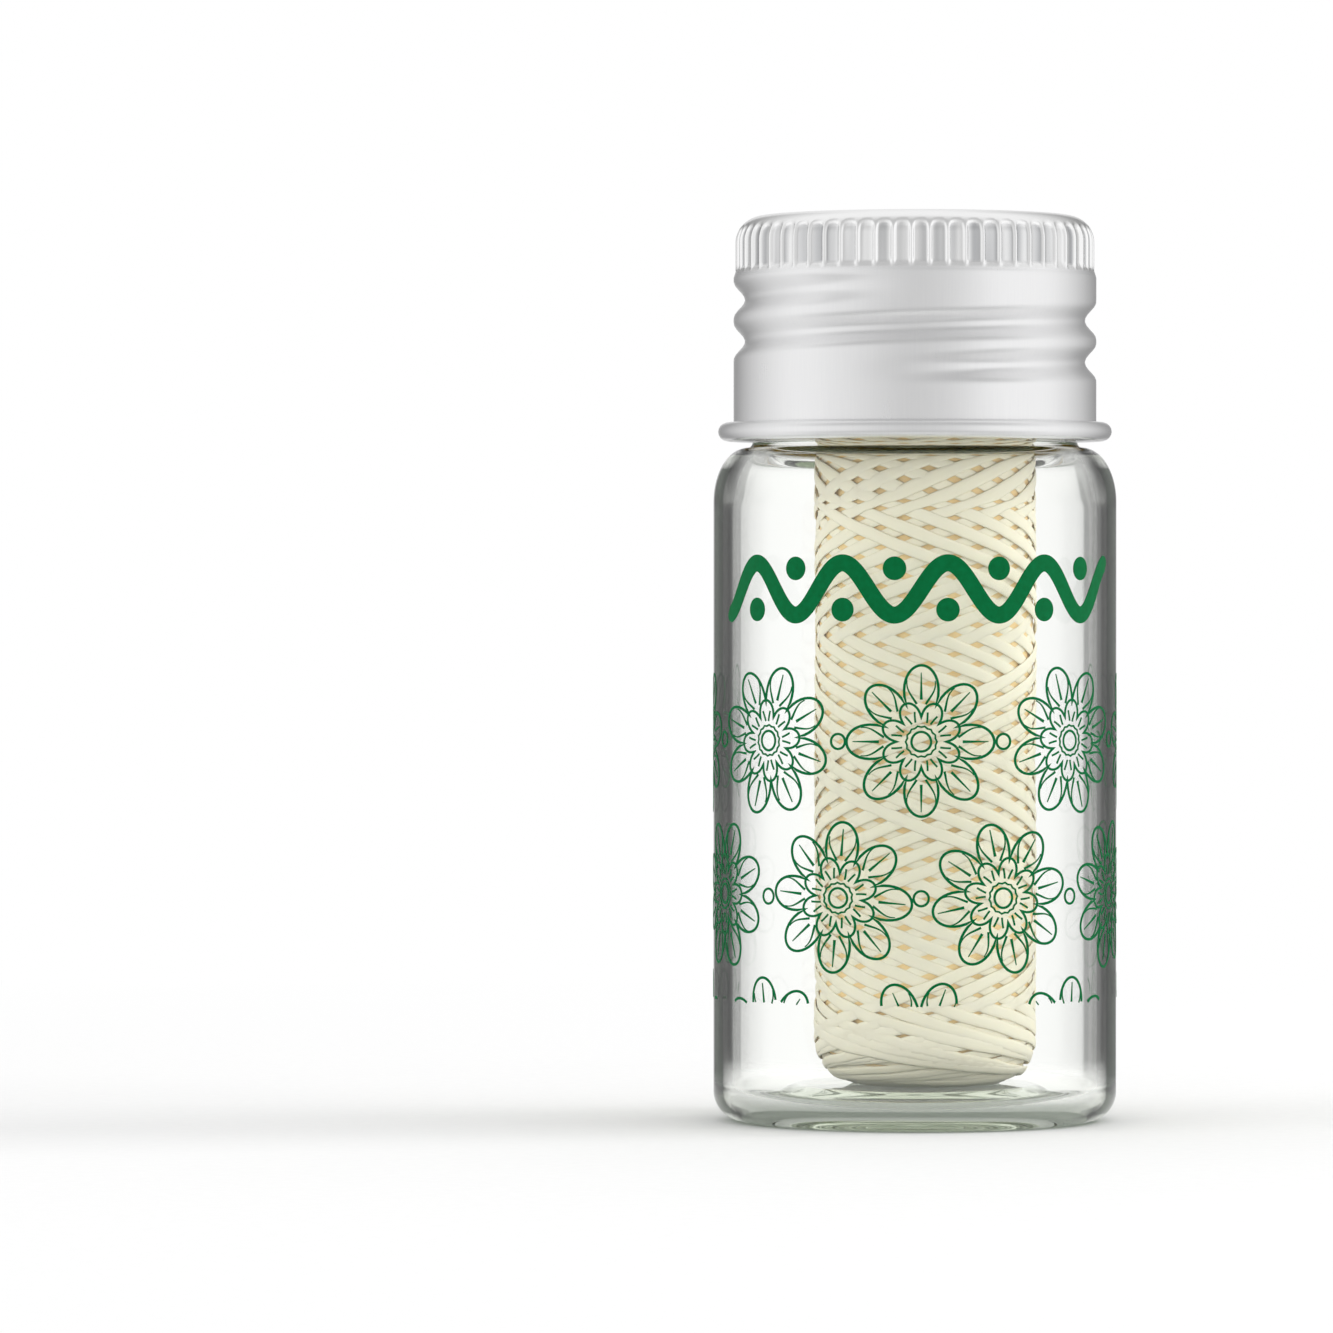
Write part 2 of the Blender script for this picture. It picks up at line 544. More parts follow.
# bobbin: one floss laid up and down in crossing helices, in mm
bobbin = {
    "starts": 14,  # strands side by side in one pitch
    "passTurns": (7 - 1 / 14) / 2,  # two passes end one strand short of seven turns
    "flossWidth": 0.92,
    "flossThick": 0.17,
    "sections": 10,
    "ringsPerTurn": 56,
    "turnBackDeg": 230,
    "endRound": 2.4,
    "endRise": 3.3,  # the rounding is taller than it is wide
    "endHollow": 1.9,  # radius of the hole in each end
    "endSpread": 1.0,  # how far the turning points lie apart
    "seed": 7,
    "stray": (0.07, 5, 9),  # up and down: how far, waves, the longest of them
    "strayOut": (0.03, 0.022, 4, 6),  # out and in: how far, less at the ends, waves, longest
    "strayWide": (0.1, 5, 14),  # share of the width
    "endZone": (0.6, 2.4),  # from the end: full, and fading over the next
    "crossLift": 0.8,  # share of the thickness that a strand rises at a crossing
    "firstDeeper": (0.16, 0.34),  # how far the first pass lies under the last, more at the ends
    "endTight": 0.3,
    # the inner turns
    "coreUnder": 2.05,  # strand thicknesses inside the outer turns
    "coreInset": (0.6, 0.9),  # how much wider and taller its ends are rounded
    "hollowDeep": 5,
    "hollowEdge": 0.6,
    "coilGap": 0.8,
    "coilTurns": 3,  # gaps that the coil drifts in one turn
    "coilStray": ((0.22, 5, 1), (0.16, 9, 0)),  # how far, waves in one turn, start
    "coilDeep": 0.13,
    "coilZone": 1.2,  # from the end
    "paleZone": (2.6, 2),  # from the end, and how far it takes to fade in
    # patches light and shade, and the streaks between filaments
    "outerTones": ("#FDF6E1", "#FAF1D9", "#F2E4C2"),
    "innerTones": ("#FBDFA6", "#F4D08E", "#EBC178"),
    "endTone": "#F8F1DF",  # the open ends are as pale as the outer turns
    "streaks": 0.14,
}


def waxedFloss(name, tones, b):
    # twistless waxed floss: ivory, faintly glossy, with filaments along the strand
    material, tree = newMaterial(name)
    light, shade, deep = tones
    where = addNode(tree, "ShaderNodeUVMap", {"uv_map": "surfaceMap"})
    # filaments: real ones are 0.02 mm, drawn at 0.1 mm so that they show
    stretched = addNode(tree, "ShaderNodeMapping", {"Scale": (0.5, 10.0, 1.0)},
                        {"Vector": where.outputs[0]})
    filaments = addNode(tree, "ShaderNodeTexNoise", {"Scale": 1.0, "Detail": 3.0},
                        {"Vector": stretched.outputs[0]})
    # patches of wax, about 6 mm along the strand
    patches = addNode(tree, "ShaderNodeTexNoise", {"Scale": 0.16, "Detail": 2.0},
                      {"Vector": where.outputs[0]})
    base = addNode(tree, "ShaderNodeMix", {
        "data_type": "RGBA", 6: linear(shade), 7: linear(light)}, {0: patches.outputs[0]})
    dark = addNode(tree, "ShaderNodeMapRange", {1: 0.25, 2: 0.5, 3: b["streaks"], 4: 0.0},
                   {0: filaments.outputs[0]})
    streaked = addNode(tree, "ShaderNodeMix", {"data_type": "RGBA", 7: linear(deep)},
                       {0: dark.outputs[0], 6: base.outputs[2]})
    openEnd = addNode(tree, "ShaderNodeAttribute", {"attribute_name": "openEnd"})
    colour = addNode(tree, "ShaderNodeMix", {"data_type": "RGBA", 7: linear(b["endTone"])},
                     {0: openEnd.outputs["Fac"], 6: streaked.outputs[2]})
    bump = addNode(tree, "ShaderNodeBump", {"Strength": 0.25, "Distance": 0.00005},
                   {"Height": filaments.outputs[0]})
    fibre = addNode(tree, "ShaderNodeBsdfPrincipled", {
        "Roughness": 0.55, "Subsurface Weight": 0.1, "Subsurface Radius": (1.0, 0.8, 0.5),
        "Subsurface Scale": 0.0002},
        {"Base Color": colour.outputs[2], "Normal": bump.outputs[0]})
    addNode(tree, "ShaderNodeOutputMaterial", None, {"Surface": fibre.outputs[0]})
    return material


def bobbinRadius(b, z):
    # straight side with elliptical ends: R - round * (1 - sqrt(1 - (depth / rise)^2))
    radius = (windHigh.x - windLow.x) / 2
    low, high = coreLow.z + b["endRise"], coreHigh.z - b["endRise"]
    past = np.clip(np.maximum(low - z, z - high) / b["endRise"], 0, 0.97)
    return radius - b["endRound"] * (1 - np.sqrt(1 - past ** 2))


def flossPath(b):
    # angle grows evenly; height goes up and down, and eases round at each end of a pass
    passes = 2 * b["starts"]
    count = int(passes * b["passTurns"] * b["ringsPerTurn"])
    u = np.linspace(0.015, passes - 0.015, count)
    angle = tau * b["passTurns"] * u
    low, high = coreLow.z + b["flossWidth"] / 2, coreHigh.z - b["flossWidth"] / 2
    ease = b["turnBackDeg"] / (360 * b["passTurns"])
    nearest = np.round(u)
    e = np.abs(u - nearest)
    e = np.where(e > ease, e, (e * e + ease * ease) / (2 * ease)) - ease / 2
    share = e / (1 - ease)
    # each turning point lies a little inside the last, so that the ends are not one sharp ring
    rng = np.random.default_rng(b["seed"])
    inset = rng.uniform(0, b["endSpread"], passes + 1)[nearest.astype(int)]
    inset *= 1 - smooth(e / (0.55 * ease))
    z = np.where(nearest % 2 == 0, low + inset + (high - low) * share,
                 high - inset - (high - low) * share)
    return u, angle, z, low, high


def flossLift(b, u, angle, z, low, high):
    # the later strand lies on top: at a crossing, 1 if this pass came after the one it meets
    n = b["starts"]
    number = np.minimum((u // 2).astype(int), n - 1)
    goesUp = (u % 2) < 1
    height = np.clip((z - low) / (high - low), 0, 1)
    turns = angle / tau
    # pass j of the other direction is here where its own angle formula gives this angle
    meetsDown = (n * (b["passTurns"] * (2 - height) - turns)) % n
    meetsUp = (n * (b["passTurns"] * height - turns)) % n
    meets = np.where(goesUp, meetsDown, meetsUp)
    first = np.floor(meets).astype(int) % n
    part = smooth(meets - np.floor(meets))
    later = np.arange(n)[None, :] < np.arange(n)[:, None]  # later[i, j]: up i after down j
    laterDown = np.arange(n)[None, :] <= np.arange(n)[:, None]
    over = np.where(goesUp[:, None], later[number], laterDown[number])
    rows = np.arange(len(u))
    a, c = over[rows, first].astype(float), over[rows, (first + 1) % n].astype(float)
    return a * (1 - part) + c * part


def wander(rng, count, waves, longest, length):
    # sum of a few sine waves of random length and phase, 1 at most
    x = np.linspace(0, length, count)
    total = np.zeros(count)
    for _ in range(waves):
        total += np.sin(tau * x / (longest * rng.uniform(0.3, 1)) + rng.uniform(0, tau))
    return total / waves


def flossWinding(b, material):
    # a flat section carried along the path: point + across * wide * x + out * thick * y
    u, angle, z, low, high = flossPath(b)
    rng = np.random.default_rng(b["seed"] + 1)
    length = tau * windHigh.x * b["passTurns"] * 2 * b["starts"]
    far, waves, longest = b["stray"]
    z = z + far * wander(rng, len(u), waves, longest, length)
    lift = flossLift(b, u, angle, z, low, high)
    thick = b["flossThick"]
    # the passes laid last lie a little further out than the first, and most so at the ends
    age = 1 - u / (2 * b["starts"])
    full, fading = b["endZone"]
    atEnd = 1 - smooth((np.minimum(z - low, high - z) - full) / fading)
    r = bobbinRadius(b, z) - thick / 2 - (1 - lift * (1 - atEnd)) * thick * b["crossLift"]
    deeper, atEnds = b["firstDeeper"]
    r = r - (deeper + atEnds * atEnd) * age
    far, less, waves, longest = b["strayOut"]
    r = r + (far - less * atEnd) * wander(rng, len(u), waves, longest, length)
    shiftX = (windLow.x + windHigh.x) / 2
    middle = np.stack([r * np.cos(angle), r * np.sin(angle), z], -1)
    along = np.gradient(middle, axis=0)
    along /= np.linalg.norm(along, axis=1)[:, None]
    # outward from a rounded surface: the slope of its profile tips the radial direction
    slope = (bobbinRadius(b, z + 0.05) - bobbinRadius(b, z - 0.05)) / 0.1
    out = np.stack([np.cos(angle), np.sin(angle), -slope], -1)
    out -= along * np.sum(out * along, 1)[:, None]
    out /= np.linalg.norm(out, axis=1)[:, None]
    across = np.cross(along, out)
    far, waves, longest = b["strayWide"]
    wide = b["flossWidth"] / 2 * (1 + far * wander(rng, len(u), waves, longest, length))
    wide *= 1 - b["endTight"] * atEnd  # pulled tight where it turns back
    k = np.arange(b["sections"]) * tau / b["sections"]
    # a flat strand's section: a superellipse with |cos|^0.8 and |sin|^0.9
    sideways = np.sign(np.cos(k)) * np.abs(np.cos(k)) ** 0.8
    upward = np.sign(np.sin(k)) * np.abs(np.sin(k)) ** 0.9
    points = (middle[:, None] + across[:, None] * (wide[:, None] * sideways)[..., None]
              + out[:, None] * (thick / 2 * upward)[None, :, None])
    points[..., 0] += shiftX
    rows, columns = points.shape[:2]
    uv = gridMap(runAlong(middle)[:, None], sideways[None, :] * b["flossWidth"] / 2)
    quads = gridQuads(rows, columns)
    ends = np.array([[0, j, j + 1, j + 1] for j in range(1, columns - 1)])
    last = (rows - 1) * columns + ends[:, ::-1]
    quads = np.concatenate([quads[:, ::-1], ends, last])
    return buildMesh("flossWinding", points.reshape(-1, 3), quads, material, uv=uv)


def flossCore(b, material):
    # inner layers: a body of turns under the outer ones, with coiled ends and a hollow middle
    radius = (windHigh.x - windLow.x) / 2 - b["coreUnder"] * b["flossThick"]
    low, high = coreLow.z, coreHigh.z
    inset, rise = b["endRound"] + b["coreInset"][0], b["endRise"] + b["coreInset"][1]
    hollow, deep, edge = b["endHollow"], b["hollowDeep"], b["hollowEdge"]
    columns = 220
    bottomEnd = straight((hollow + edge, low), (radius - inset, low), 34)
    topEnd = straight((radius - inset, high), (hollow + edge, high), 34)
    profile = np.concatenate([
        [[0, low + deep]], straight((hollow, low + deep), (hollow, low + edge), 5),
        arc(hollow + edge, low + edge, edge, edge, 180, 268, 6), bottomEnd,
        arc(radius - inset, low + rise, inset, rise, -90, 0, 16),
        straight((radius, low + rise), (radius, high - rise), 60)[1:],
        arc(radius - inset, high - rise, inset, rise, 0, 90, 16), topEnd[1:],
        arc(hollow + edge, high - edge, edge, edge, 92, 180, 6),
        straight((hollow, high - edge), (hollow, high - deep), 5)[1:], [[hollow, high - deep]],
        [[0, high - deep]]])
    t = np.arange(columns) * tau / columns
    r, z = profile[:, :1], profile[:, 1:]
    # turns on the ends: rings that drift with the angle, depth * (|sin(pi (r - drift) / gap)| - 1)
    gap, zone = b["coilGap"], b["coilZone"]
    onEnd = ((z < low + zone) | (z > high - zone)) & (r > hollow)
    drift = gap * (b["coilTurns"] * t / tau)
    for far, waves, early in b["coilStray"]:  # the rings aren't even
        drift = drift + far * np.sin(waves * t + early)
    ripple = b["coilDeep"] * (np.abs(np.sin(math.pi * (r - drift) / gap)) - 1)
    inward = np.where(z < (low + high) / 2, -1, 1)
    heights = z + np.where(onEnd, ripple * inward, 0)
    shiftX = (coreLow.x + coreHigh.x) / 2
    points, quads = turnedSurface(np.repeat(r, columns, 1), heights, middle=(shiftX, 0))
    uv = gridMap(t[None, :] * radius, runAlong(profile)[:, None])
    points, quads, uv = dropLoose(points, quads, uv)
    pale, fading = b["paleZone"]
    away = np.maximum(low + pale - points[:, 2], points[:, 2] - high + pale)
    return buildMesh("flossCore", points, quads, material, uv=uv,
                     marks=("openEnd", smooth(away / fading)))


windingPiece = flossWinding(bobbin, waxedFloss("waxedIvoryFloss", bobbin["outerTones"], bobbin))
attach(windingPiece, "bobbin")
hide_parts("floss_winding")
corePiece = flossCore(bobbin, waxedFloss("innerFlossTurns", bobbin["innerTones"], bobbin))
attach(corePiece, "bobbin")
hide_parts("floss_core")
print("bobbin wound:", len(windingPiece.data.polygons), "faces")


# print on the glass, in mm: a running wave with beads over two and a half rows of rosettes
printed = {
    "inkOut": 0.03,
    "inkIn": 0.04,  # how far the ink keys into the surface of the glass
    "inkStep": (0.0012, 12),  # how much lower each next line lies, and after how many again
    "inkTones": ("#00562A", "#006B3C"),
    "inkRough": 0.4,
    "lineWidth": 0.18,
    "bandLow": 9.2,
    "bandHigh": 34.2,
    "wrapDeg": 102,  # to each side of the front
    "rosetteRadius": 5.5,
    "rosettePitch": 12.4,
    "rowPitch": 11.4,
    "rows": 3,
    "seed": 3,
    "petals": 8,
    # shares of the rosette's radius: the least, and how much the petals add
    "outerPetals": (0.48, 0.52),
    "innerPetals": (0.3, 0.24),
    "petalFull": 0.62,  # power of the cosine: a small one makes full petals
    "eyeRings": (0.13, 0.2),
    "veins": (0.56, 0.36),  # where the middle vein starts and how long it is
    "sideVeins": (0.5, 0.33),
    "sideVeinBow": (0.12, 0.13),  # radians from the middle vein
    "hatching": (0.26, 0.14),  # between the inner petals
    "wobble": 0.012,  # of the hand that drew the lines
    "dotRadius": 0.55,
    "borderMiddle": 39.6,
    "borderSwing": 1.9,
    "borderWave": 7.8,
    "borderStroke": 1.25,
    "borderDeg": 68,
    "borderTaper": 0.5,
    "beadRadius": 0.85,
    "beadRings": (0.25, 0.75),  # two rings of ink fill a bead: shares of its radius
    "beadStroke": 0.54,  # the width of those rings, as a share of it too
    "beadOffset": 1.5,  # from the middle of the wave
}


def printedInk(p):
    # screen-printed ceramic ink: opaque green, satin, thicker along the edges of a line
    material, tree = newMaterial("screenPrintedGreenInk")
    where = addNode(tree, "ShaderNodeTexCoord")
    specks = addNode(tree, "ShaderNodeTexNoise", {"Scale": 2500.0, "Detail": 2.0},
                     {"Vector": where.outputs["Object"]})  # mesh of the screen, 0.4 mm
    colour = addNode(tree, "ShaderNodeMix", {
        "data_type": "RGBA", 6: linear(p["inkTones"][0]), 7: linear(p["inkTones"][1])},
        {0: specks.outputs[0]})
    bump = addNode(tree, "ShaderNodeBump", {"Strength": 0.2, "Distance": 0.00002},
                   {"Height": specks.outputs[0]})
    ink = addNode(tree, "ShaderNodeBsdfPrincipled", {
        "Roughness": p["inkRough"], "Specular IOR Level": 0.06}, {
        "Base Color": colour.outputs[2], "Normal": bump.outputs[0]})
    addNode(tree, "ShaderNodeOutputMaterial", None, {"Surface": ink.outputs[0]})
    return material


def ribbon(path, width, closed, outer, inner):
    # a line (s, z) on the unrolled glass to a flat strip on the cylinder, with its thickness
    p = np.asarray(path, float)
    if closed:
        ahead = np.roll(p, -1, 0) - np.roll(p, 1, 0)
    else:
        ahead = np.gradient(p, axis=0)
    ahead /= np.linalg.norm(ahead, axis=1)[:, None] + 1e-9
    side = np.stack([-ahead[:, 1], ahead[:, 0]], -1)
    half = np.asarray(width) / 2 * np.ones(len(p))
    left, right = p + side * half[:, None], p - side * half[:, None]
    section = np.stack([left, right, right, left], 1)
    radius = np.array([outer, outer, inner, inner])[None, :] * np.ones((len(p), 1))
    a = section[..., 0] / glassHigh.x - math.pi / 2
    points = np.stack([radius * np.cos(a), radius * np.sin(a), section[..., 1]], -1)
    quads = gridQuads(len(p), 4, rowsClosed=closed)
    if not closed:
        last = (len(p) - 1) * 4
        quads = np.concatenate([quads, [[3, 2, 1, 0]], [[last, last + 1, last + 2, last + 3]]])
    return points.reshape(-1, 3), quads


def inkOf(name, lines, p, material):
    # joins many ribbons in one mesh; each next one is a hair thinner, so that crossings are clean
    allPoints, allQuads, start = [], [], 0
    step, again = p["inkStep"]
    for number, (path, width, closed) in enumerate(lines):
        outer = glassHigh.x + p["inkOut"] - step * (number % again)
        points, quads = ribbon(path, width, closed, outer, glassHigh.x - p["inkIn"])
        allPoints.append(points)
        allQuads.append(quads + start)
        start += len(points)
    piece = buildMesh(name, np.concatenate(allPoints), np.concatenate(allQuads), material,
                      shade=False)
    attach(piece, "bottle")
    return piece


def rosette(midS, midZ, turn, p, rng):
    # petals: r = R (least + more |cos(n a / 2)|^full), drawn twice, with three veins in each petal
    n, radius, width = p["petals"], p["rosetteRadius"], p["lineWidth"]
    lines = []

    def put(a, r, thick, closed=False):
        wobble = 1 + p["wobble"] * np.sin(3 * a + rng.uniform(0, tau))
        s, z = r * wobble * np.cos(a + turn), r * wobble * np.sin(a + turn)
        lines.append((np.stack([midS + s, midZ + z], -1), thick, closed))

    a = np.linspace(0, tau, n * 22, endpoint=False)
    for (least, more), early, thick in ((p["outerPetals"], 0, width * 1.1),
                                        (p["innerPetals"], math.pi / n, width)):
        petal = np.abs(np.cos(n * (a + early) / 2)) ** p["petalFull"]
        put(a, radius * (least + more * petal), thick, True)
    ring = np.linspace(0, tau, 28, endpoint=False)
    small, large = p["eyeRings"]
    put(ring, radius * small + 0 * ring, width, True)
    put(ring, radius * large + 0.25 * width * np.cos(14 * ring), width * 0.8, True)
    t, bow = np.linspace(0, 1, 12), p["sideVeinBow"]
    for k in range(n):
        mid = k * tau / n
        # veins that thin out towards the rim
        put(mid + 0 * t, radius * (p["veins"][0] + p["veins"][1] * t), width * (1.2 - 0.8 * t))
        for hand in (-1, 1):
            put(mid + hand * (bow[0] + bow[1] * np.sin(t * math.pi * 0.7)),
                radius * (p["sideVeins"][0] + p["sideVeins"][1] * t), width * (1 - 0.6 * t))
            put(mid + hand * tau / n / 2 * (0.25 + 0.2 * t) + tau / n / 2,
                radius * (p["hatching"][0] + p["hatching"][1] * t), width * 0.8)
    return lines


def keepBand(lines, p):
    # cuts the lines where the print ends, above and below and round the sides
    kept = []
    edge = math.radians(p["wrapDeg"]) * glassHigh.x
    for path, width, closed in lines:
        inside = (path[:, 1] > p["bandLow"]) & (path[:, 1] < p["bandHigh"])
        inside &= np.abs(path[:, 0]) < edge
        width = np.asarray(width) * np.ones(len(path))
        if inside.all():
            kept.append((path, width, closed))
            continue
        if closed and not inside[0] and inside.any():
            closed = False
        elif closed and inside.any():
            shift = int(np.argmin(inside))
            path, width, inside = (np.roll(x, -shift, 0) for x in (path, width, inside))
        cuts = np.flatnonzero(np.diff(np.concatenate([[0], inside.astype(int), [0]])))
        for start, stop in zip(cuts[::2], cuts[1::2]):
            if stop - start > 2:
                kept.append((path[start:stop], width[start:stop], False))
    return kept


def rosetteBand(p):
    # rows of rosettes, each row half a place further round than the last
    rng = np.random.default_rng(p["seed"])
    lines = []
    across = int(math.radians(p["wrapDeg"]) * glassHigh.x / p["rosettePitch"]) + 1
    for row in range(p["rows"]):
        midZ = p["bandHigh"] - p["rosetteRadius"] - 0.2 - row * p["rowPitch"]
        for place in range(-across, across + 1):
            midS = (place + 0.5 * (row % 2)) * p["rosettePitch"]
            lines += rosette(midS, midZ, 0.3 * place + row, p, rng)
            # a small ring between each four rosettes
            between = circle(midS + p["rosettePitch"] / 2, midZ, p["dotRadius"], 24)
            lines.append((between, p["lineWidth"], True))
    return keepBand(lines, p)


def borderBand(p):
    # one running wave, z = middle + swing * sin, with a filled bead in each of its hollows
    reach = math.radians(p["borderDeg"]) * glassHigh.x
    s = np.linspace(-reach, reach, 420)
    wave = p["borderMiddle"] + p["borderSwing"] * np.sin(tau * s / p["borderWave"])
    taper = np.sqrt(np.clip((reach - np.abs(s)) / p["borderTaper"], 0.02, 1))
    lines = [(np.stack([s, wave], -1), p["borderStroke"] * taper, False)]
    count = int(2 * reach / p["borderWave"])
    for number in range(-count, count):
        midS = (number + 0.5) * p["borderWave"] / 2
        midZ = p["borderMiddle"] - (-1) ** number * p["beadOffset"]
        if abs(midS) > reach - p["beadRadius"]:
            continue
        for share in p["beadRings"]:
            dot = circle(midS, midZ, p["beadRadius"] * share, 28)
            lines.append((dot, p["beadRadius"] * p["beadStroke"], True))
    return lines


inkMaterial = printedInk(printed)
rosettePiece = inkOf("rosettePrint", rosetteBand(printed), printed, inkMaterial)
inkOf("borderPrint", borderBand(printed), printed, inkMaterial)
print("print laid on:", len(rosettePiece.data.polygons), "faces of line")


# seal, cutter plate and eyelet: tones, roughness and the size of their marks in mm
fittings = {
    "foamTones": ("#E9E9E4", "#F6F6F2"),
    "foamRough": 0.75,
    "foamCell": 0.25,
    "steelTones": ("#BFC0C2", "#D4D5D6"),
    "steelRough": (0.18, 0.38),
    "brightTones": ("#DDDDDF", "#F0F0F1"),
    "brightRough": (0.14, 0.24),
    "punchRings": 0.15,
}


def closedFoam(f):
    # closed-cell polyethylene foam, die-cut: matt white with fine cells
    material, tree = newMaterial("dieCutFoam")
    where = addNode(tree, "ShaderNodeTexCoord")
    cells = addNode(tree, "ShaderNodeTexVoronoi", {"Scale": 1 / (f["foamCell"] * mm)},
                    {"Vector": where.outputs["Object"]})
    bump = addNode(tree, "ShaderNodeBump", {"Strength": 0.4, "Distance": 0.00004},
                   {"Height": cells.outputs["Distance"]})
    colour = addNode(tree, "ShaderNodeMix", {
        "data_type": "RGBA", 6: linear(f["foamTones"][0]), 7: linear(f["foamTones"][1])},
        {0: cells.outputs["Distance"]})
    foam = addNode(tree, "ShaderNodeBsdfPrincipled", {"Roughness": f["foamRough"]}, {
        "Base Color": colour.outputs[2], "Normal": bump.outputs[0]})
    addNode(tree, "ShaderNodeOutputMaterial", None, {"Surface": foam.outputs[0]})
    return material


def brushedSteel(f):
    # stainless strip, cold-rolled and stamped: brushed one way, a little darker than the cap
    material, tree = newMaterial("stampedStainlessStrip")
    where = addNode(tree, "ShaderNodeTexCoord")
    oneWay = addNode(tree, "ShaderNodeMapping", {"Scale": (150.0, 9000.0, 9000.0)},
                     {"Vector": where.outputs["Object"]})  # brush marks 0.1 mm apart
    brush = addNode(tree, "ShaderNodeTexNoise", {"Scale": 1.0, "Detail": 4.0},
                    {"Vector": oneWay.outputs[0]})
    rough = addNode(tree, "ShaderNodeMapRange", {3: f["steelRough"][0], 4: f["steelRough"][1]},
                    {0: brush.outputs[0]})
    tone = addNode(tree, "ShaderNodeMix", {
        "data_type": "RGBA", 6: linear(f["steelTones"][0]), 7: linear(f["steelTones"][1])},
        {0: brush.outputs[0]})
    bump = addNode(tree, "ShaderNodeBump", {"Strength": 0.15, "Distance": 0.00002},
                   {"Height": brush.outputs[0]})
    steel = addNode(tree, "ShaderNodeBsdfPrincipled", {"Metallic": 1.0}, {
        "Base Color": tone.outputs[2], "Roughness": rough.outputs[0], "Normal": bump.outputs[0]})
    addNode(tree, "ShaderNodeOutputMaterial", None, {"Surface": steel.outputs[0]})
    return material


def pressedAluminium(f):
    # aluminium tube, flared and pressed over: bright, with faint rings left by the punch
    material, tree = newMaterial("pressedBrightAluminium")
    where = addNode(tree, "ShaderNodeTexCoord")
    level = addNode(tree, "ShaderNodeVectorMath", {"operation": "MULTIPLY", 1: (1, 1, 0)},
                    {0: where.outputs["Object"]})
    radius = addNode(tree, "ShaderNodeVectorMath", {"operation": "LENGTH"}, {0: level.outputs[0]})
    turns = addNode(tree, "ShaderNodeMath", {
        "operation": "MULTIPLY", 1: tau / (f["punchRings"] * mm)}, {0: radius.outputs["Value"]})
    rings = addNode(tree, "ShaderNodeMath", {"operation": "SINE"}, {0: turns.outputs[0]})
    rough = addNode(tree, "ShaderNodeMapRange", {
        1: -1.0, 2: 1.0, 3: f["brightRough"][0], 4: f["brightRough"][1]}, {0: rings.outputs[0]})
    smears = addNode(tree, "ShaderNodeTexNoise", {"Scale": 1200.0, "Detail": 2.0},
                     {"Vector": where.outputs["Object"]})
    tone = addNode(tree, "ShaderNodeMix", {
        "data_type": "RGBA", 6: linear(f["brightTones"][0]), 7: linear(f["brightTones"][1])},
        {0: smears.outputs[0]})
    bump = addNode(tree, "ShaderNodeBump", {"Strength": 0.1, "Distance": 0.00001},
                   {"Height": rings.outputs[0]})
    metal = addNode(tree, "ShaderNodeBsdfPrincipled", {"Metallic": 1.0}, {
        "Base Color": tone.outputs[2], "Roughness": rough.outputs[0], "Normal": bump.outputs[0]})
    addNode(tree, "ShaderNodeOutputMaterial", None, {"Surface": metal.outputs[0]})
    return material


for nodeName, finish in (("cap_seal", closedFoam(fittings)),
                         ("cutter_plate", brushedSteel(fittings)),
                         ("outlet_eyelet", pressedAluminium(fittings))):
    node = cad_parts[nodeName]
    node.data.materials.clear()
    node.data.materials.append(finish)
print("fittings finished")


# studio: white floor and backdrop, three soft boxes, and the tones that glass and metal see
studio = {
    "floorHalf": 3.0,  # metres
    "paperTones": ("#E1E1E1", "#E6E6E6"),
    "floorLift": 0.2,  # brings the paper to full white where it is seen through glass
    "nearFloor": (0.02, 0.06),  # metres; glass and metal see the paper as it is up to here
    "sweep": (0.07, 0.22),  # metres; where the paper runs out into the white backdrop
    "fill": 1.01,  # light from all round on matt surfaces
    "boxAngleDeg": 72,
    "boxDistance": 0.9,
    "boxHeight": 0.3,
    "boxSize": (0.42, 0.8),
    "boxPower": (2.4, 2.3),  # left and right, watts
    "highPlace": (0.7, 0.1, 0.62),  # metres: this box throws the soft shadow to the left
    "highSize": (0.3, 0.3),
    "highPower": 2.4,
    "topTone": (0.52, 0.9),  # overhead and below, in metal and through glass
    "topBehind": 0.88,  # overhead and to the back, in metal
    "behindFrom": (-0.3, 0.15),  # how far back it starts and is full, as y of the direction
    "topStart": ((0.35, 0.8), (0.14, 0.42)),  # sine of the height angle where it begins
    # degrees from straight behind, to the left and to the right, and the tone there:
    # what shows through the glass, and what the metal mirrors
    "glassLeft": ((0, 1.06), (6, 1.04), (15.5, 0.92), (16.3, 0.38), (21, 0.34), (24, 0.15),
                  (27, 0.04), (36, 0.03), (41, 0.14), (50, 0.12), (58, 0.06), (70, 0.8),
                  (180, 0.8)),
    "glassRight": ((0, 1.06), (6, 1.04), (15.5, 0.92), (16.3, 0.42), (21, 0.38), (24, 0.18),
                   (27, 0.06), (36, 0.05), (41, 0.18), (50, 0.15), (58, 0.08), (70, 0.8),
                   (180, 0.8)),
    "metalLeft": ((0, 0.82), (8, 0.73), (14, 0.26), (28, 0.33), (40, 0.48), (54, 0.65),
                  (70, 0.8), (92, 0.96), (116, 0.93), (124, 0.86), (136, 0.84), (150, 0.76),
                  (166, 0.67), (180, 0.64)),
    "metalRight": ((0, 0.82), (8, 0.73), (14, 0.26), (28, 0.33), (40, 0.46), (54, 0.64),
                   (70, 0.82), (88, 0.98), (124, 0.98), (136, 0.93), (144, 0.84), (160, 0.71),
                   (168, 0.69), (180, 0.64)),
}


